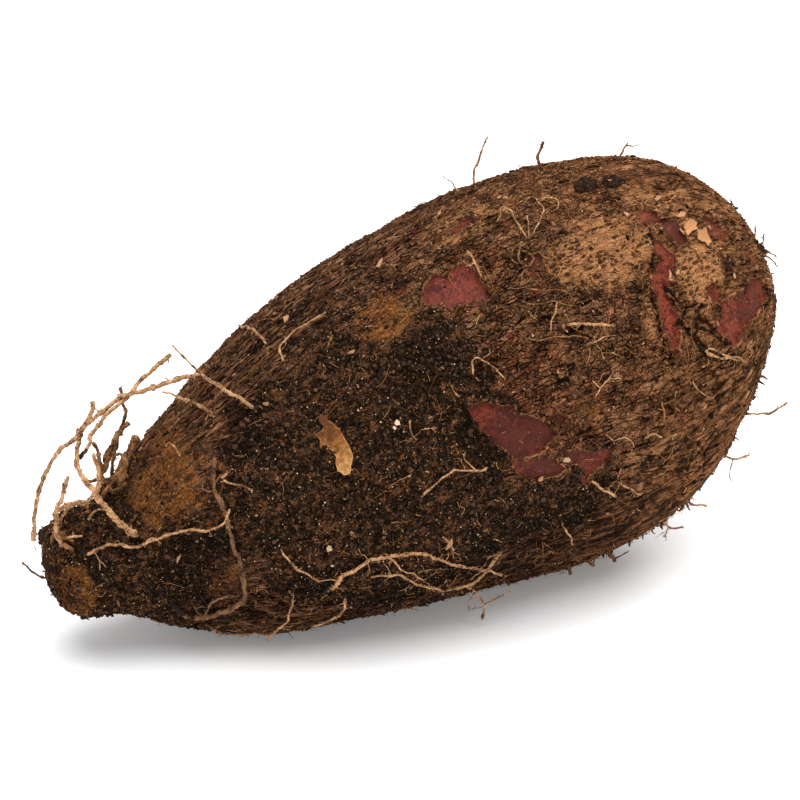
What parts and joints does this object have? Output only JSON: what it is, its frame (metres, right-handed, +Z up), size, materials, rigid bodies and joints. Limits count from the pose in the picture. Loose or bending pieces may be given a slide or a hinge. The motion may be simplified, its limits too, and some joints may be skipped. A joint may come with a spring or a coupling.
{
  "type": "yam",
  "caption": "Unwashed yam tuber lying on its side: a narrow neck swelling to a blunt round end, rough brown bark with red bare patches, a crown of stray roots, fine rootlets and caked soil.",
  "frame": {"origin": "middle of the whole object's box, on the surface that the tuber lies on", "axes": "+X from the narrow neck to the round end, +Z up, -Y the side with the most red patches"},
  "size_m": [0.2494, 0.1222, 0.1333],
  "materials": {
    "bark": "rough cracked corky bark, near black where soil is caked, orange tan where it has rubbed thin, smooth wine red in bare patches",
    "pale_root": "dry matt tan root with dark knots and specks of soil",
    "dark_root": "dry matt dark brown root crusted with soil",
    "dead_leaf": "dry brown leaf scrap, ribbed, faint sheen",
    "bark_flake": "papery pale tan flake of outer skin, matt",
    "soil": "damp black crumbly soil, matt"
  },
  "bodies": {
    "root": {"tuber": "bark", "crown_root_arc": "pale_root", "crown_root_high": "pale_root", "crown_root_front": "pale_root", "crown_root_tip": "pale_root", "crown_root_bent": "pale_root", "crown_root_dark": "dark_root", "crown_root_stump": "dark_root", "crown_root_upright": "dark_root", "shoulder_root_long": "pale_root", "shoulder_root_short": "pale_root", "neck_twig": "dark_root", "neck_root": "pale_root", "hooked_root": "dark_root", "side_rootlet": "pale_root", "belly_root_long": "pale_root", "belly_root_crossing": "pale_root", "belly_root_short": "pale_root", "belly_rootlet": "pale_root", "hanging_root": "pale_root", "leaning_rootlet": "pale_root", "underside_rootlet": "pale_root", "top_rootlet_near_neck": "pale_root", "top_rootlet_hooked": "pale_root", "top_rootlet_split": "pale_root", "side_root_end": "pale_root", "round_end_rootlet": "pale_root", "belly_root_end": "pale_root", "branched_rootlet": "pale_root", "top_stalk_tall": "pale_root", "top_stalk_blunt": "dark_root", "top_stalk_small": "dark_root", "end_twig_upper": "pale_root", "end_twig_middle": "pale_root", "end_twig_lower": "pale_root", "end_twig_low": "pale_root", "root_stub_large": "dark_root", "root_stub_middle": "dark_root", "root_stub_small": "dark_root", "dead_leaf_scrap": "dead_leaf", "bark_flake_upper": "bark_flake", "bark_flake_lower": "bark_flake", "bark_flap": "bark", "soil_clod_top_large": "soil", "soil_clod_top_small": "soil", "soil_clod_neck": "soil", "soil_clod_round_end": "soil"}
  },
  "joints": []
}
